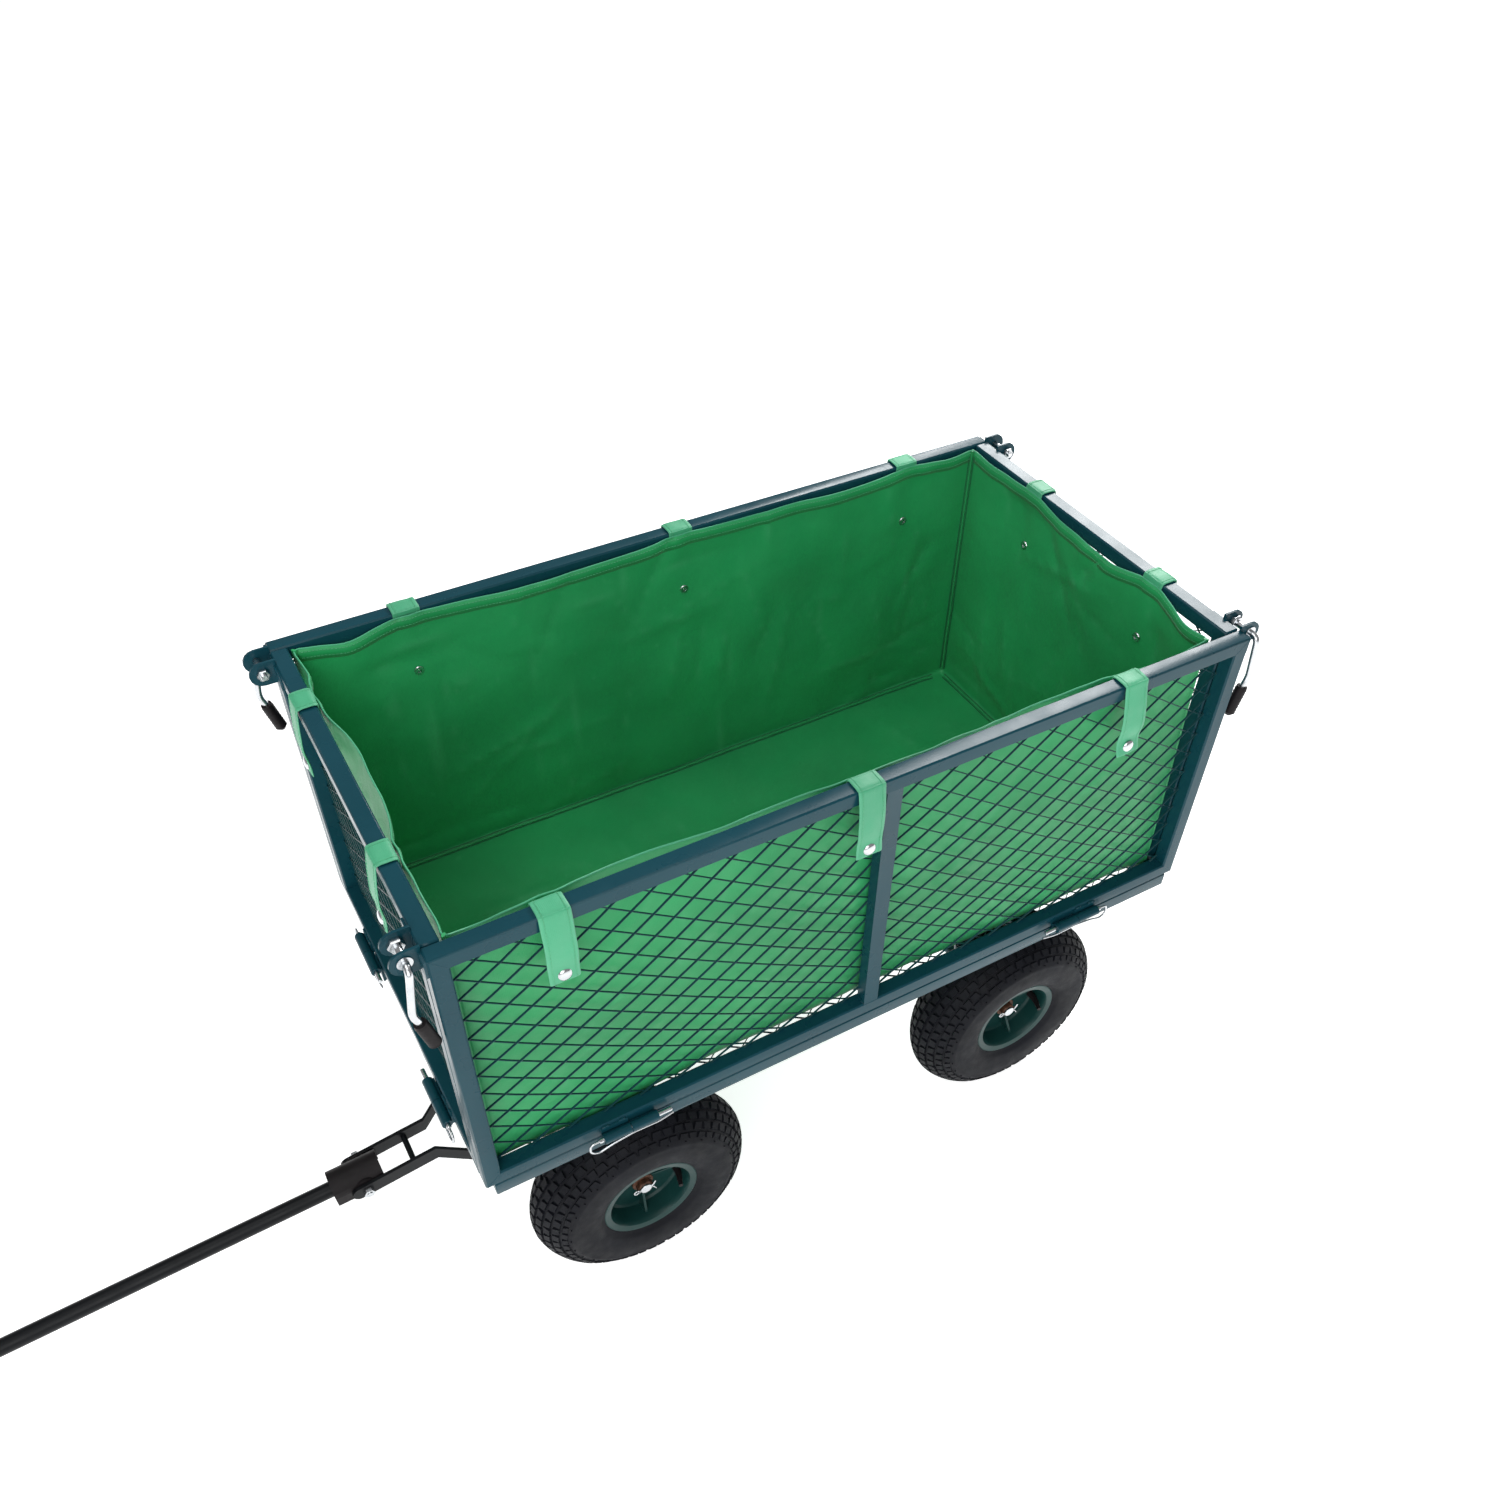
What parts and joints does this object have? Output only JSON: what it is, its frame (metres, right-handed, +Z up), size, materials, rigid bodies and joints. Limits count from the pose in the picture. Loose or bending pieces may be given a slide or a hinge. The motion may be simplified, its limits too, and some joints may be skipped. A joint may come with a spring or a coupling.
{
  "type": "tow behind cart",
  "caption": "Four-wheeled mesh garden cart with fold-down latched side panels, a lift-out fabric liner on snap straps, and a steering tow handle.",
  "frame": {"origin": "on the ground under the middle of the whole length, midway across the cart", "axes": "+X towards the cart's rear, the tow handle points to -X, +Y towards the far side, +Z up"},
  "size_m": [1.8076, 0.566, 0.7441],
  "materials": {
    "frame_paint": "satin",
    "mesh_paint": "satin",
    "rim_paint": "satin",
    "black_steel": "satin",
    "tyre_rubber": "matte",
    "zinc": "satin",
    "grip_plastic": "matte",
    "liner_fabric": "coated",
    "strap_fabric": "coated"
  },
  "bodies": {
    "bed": {"bed_frame": "frame_paint", "bed_floor_mesh": "mesh_paint", "rear_axle_carrier": "frame_paint", "rear_axle": "zinc", "kingpin": "zinc", "axle_nut_rear_near": "zinc", "axle_nut_rear_far": "zinc"},
    "steering": {"front_axle_carrier": "frame_paint", "front_axle": "zinc", "tow_fork": "black_steel", "pivot_bolt": "zinc", "axle_nut_front_near": "zinc", "axle_nut_front_far": "zinc"},
    "tow_handle": {"tow_tube": "black_steel", "saddle_cap": "grip_plastic", "handle_grip": "grip_plastic"},
    "hitch_pin": {"hitch_pin": "zinc"},
    "wheel_front_near": {"tyre_front_near": "tyre_rubber", "rim_front_near": "rim_paint"},
    "wheel_front_far": {"tyre_front_far": "tyre_rubber", "rim_front_far": "rim_paint"},
    "wheel_rear_near": {"tyre_rear_near": "tyre_rubber", "rim_rear_near": "rim_paint"},
    "wheel_rear_far": {"tyre_rear_far": "tyre_rubber", "rim_rear_far": "rim_paint"},
    "panel_near": {"panel_frame_near": "frame_paint", "panel_mesh_near": "mesh_paint"},
    "panel_far": {"panel_frame_far": "frame_paint", "panel_mesh_far": "mesh_paint"},
    "panel_front": {"panel_frame_front": "frame_paint", "panel_mesh_front": "mesh_paint"},
    "panel_rear": {"panel_frame_rear": "frame_paint", "panel_mesh_rear": "mesh_paint"},
    "latch_front_near": {"latch_rod_front_near": "zinc", "latch_grip_front_near": "grip_plastic"},
    "latch_rear_near": {"latch_rod_rear_near": "zinc", "latch_grip_rear_near": "grip_plastic"},
    "latch_front_far": {"latch_rod_front_far": "zinc", "latch_grip_front_far": "grip_plastic"},
    "latch_rear_far": {"latch_rod_rear_far": "zinc", "latch_grip_rear_far": "grip_plastic"},
    "pin_near_a": {"hinge_pin_near_a": "zinc"},
    "pin_near_b": {"hinge_pin_near_b": "zinc"},
    "pin_far_a": {"hinge_pin_far_a": "zinc"},
    "pin_far_b": {"hinge_pin_far_b": "zinc"},
    "pin_front_a": {"hinge_pin_front_a": "zinc"},
    "pin_front_b": {"hinge_pin_front_b": "zinc"},
    "pin_rear_a": {"hinge_pin_rear_a": "zinc"},
    "pin_rear_b": {"hinge_pin_rear_b": "zinc"},
    "liner": {"liner": "liner_fabric", "strap_near_a": "strap_fabric", "strap_near_b": "strap_fabric", "strap_near_c": "strap_fabric", "strap_far_a": "strap_fabric", "strap_far_b": "strap_fabric", "strap_far_c": "strap_fabric", "strap_front_a": "strap_fabric", "strap_front_b": "strap_fabric", "strap_rear_a": "strap_fabric", "strap_rear_b": "strap_fabric"}
  },
  "joints": [
    {"name": "steer", "type": "hinge", "parent": "bed", "child": "steering", "pos_m": [0.06897, 0, 0.285], "axis": [0, 0, 1], "range_deg": [-30, 30]},
    {"name": "tow_handle_lift", "type": "hinge", "parent": "steering", "child": "tow_handle", "pos_m": [-0.23873, 0, 0.0705], "axis": [0, -1, 0], "range_deg": [-90, 0]},
    {"name": "hitch_pin_pull", "type": "slide", "parent": "tow_handle", "child": "hitch_pin", "axis": [-0.0541, 0, 0.9985], "range_m": [0, 0.06]},
    {"name": "wheel_front_near_spin", "type": "hinge", "parent": "steering", "child": "wheel_front_near", "pos_m": [0.06897, -0.2245, 0.147], "axis": [0, 1, 0], "continuous": true},
    {"name": "wheel_front_far_spin", "type": "hinge", "parent": "steering", "child": "wheel_front_far", "pos_m": [0.06897, 0.2245, 0.147], "axis": [0, 1, 0], "continuous": true},
    {"name": "wheel_rear_near_spin", "type": "hinge", "parent": "bed", "child": "wheel_rear_near", "pos_m": [0.64677, -0.2245, 0.147], "axis": [0, 1, 0], "continuous": true},
    {"name": "wheel_rear_far_spin", "type": "hinge", "parent": "bed", "child": "wheel_rear_far", "pos_m": [0.64677, 0.2245, 0.147], "axis": [0, 1, 0], "continuous": true},
    {"name": "panel_near_fold", "type": "hinge", "parent": "bed", "child": "panel_near", "pos_m": [0.37327, -0.2765, 0.349], "axis": [1, 0, 0], "range_deg": [0, 120], "deforming": ["strap_near_a", "strap_near_b", "strap_near_c"]},
    {"name": "panel_far_fold", "type": "hinge", "parent": "bed", "child": "panel_far", "pos_m": [0.37327, 0.2765, 0.349], "axis": [-1, 0, 0], "range_deg": [0, 120], "deforming": ["strap_far_a", "strap_far_b", "strap_far_c"]},
    {"name": "panel_front_fold", "type": "hinge", "parent": "bed", "child": "panel_front", "pos_m": [-0.13523, 0, 0.349], "axis": [0, -1, 0], "range_deg": [0, 120], "deforming": ["strap_front_a", "strap_front_b"]},
    {"name": "panel_rear_fold", "type": "hinge", "parent": "bed", "child": "panel_rear", "pos_m": [0.88177, 0, 0.349], "axis": [0, 1, 0], "range_deg": [0, 120], "deforming": ["strap_rear_a", "strap_rear_b"]},
    {"name": "latch_front_near_pull", "type": "slide", "parent": "panel_near", "child": "latch_front_near", "axis": [0, -1, 0], "range_m": [0, 0.02]},
    {"name": "latch_rear_near_pull", "type": "slide", "parent": "panel_near", "child": "latch_rear_near", "axis": [0, -1, 0], "range_m": [0, 0.02]},
    {"name": "latch_front_far_pull", "type": "slide", "parent": "panel_far", "child": "latch_front_far", "axis": [0, 1, 0], "range_m": [0, 0.02]},
    {"name": "latch_rear_far_pull", "type": "slide", "parent": "panel_far", "child": "latch_rear_far", "axis": [0, 1, 0], "range_m": [0, 0.02]},
    {"name": "pin_near_a_pull", "type": "slide", "parent": "bed", "child": "pin_near_a", "axis": [-1, 0, 0], "range_m": [0, 0.1]},
    {"name": "pin_near_b_pull", "type": "slide", "parent": "bed", "child": "pin_near_b", "axis": [1, 0, 0], "range_m": [0, 0.1]},
    {"name": "pin_far_a_pull", "type": "slide", "parent": "bed", "child": "pin_far_a", "axis": [-1, 0, 0], "range_m": [0, 0.1]},
    {"name": "pin_far_b_pull", "type": "slide", "parent": "bed", "child": "pin_far_b", "axis": [1, 0, 0], "range_m": [0, 0.1]},
    {"name": "pin_front_a_pull", "type": "slide", "parent": "bed", "child": "pin_front_a", "axis": [0, -1, 0], "range_m": [0, 0.1]},
    {"name": "pin_front_b_pull", "type": "slide", "parent": "bed", "child": "pin_front_b", "axis": [0, 1, 0], "range_m": [0, 0.1]},
    {"name": "pin_rear_a_pull", "type": "slide", "parent": "bed", "child": "pin_rear_a", "axis": [0, -1, 0], "range_m": [0, 0.1]},
    {"name": "pin_rear_b_pull", "type": "slide", "parent": "bed", "child": "pin_rear_b", "axis": [0, 1, 0], "range_m": [0, 0.1]},
    {"name": "liner_lift", "type": "slide", "parent": "bed", "child": "liner", "axis": [0, 0, 1], "range_m": [0, 0.45]}
  ]
}
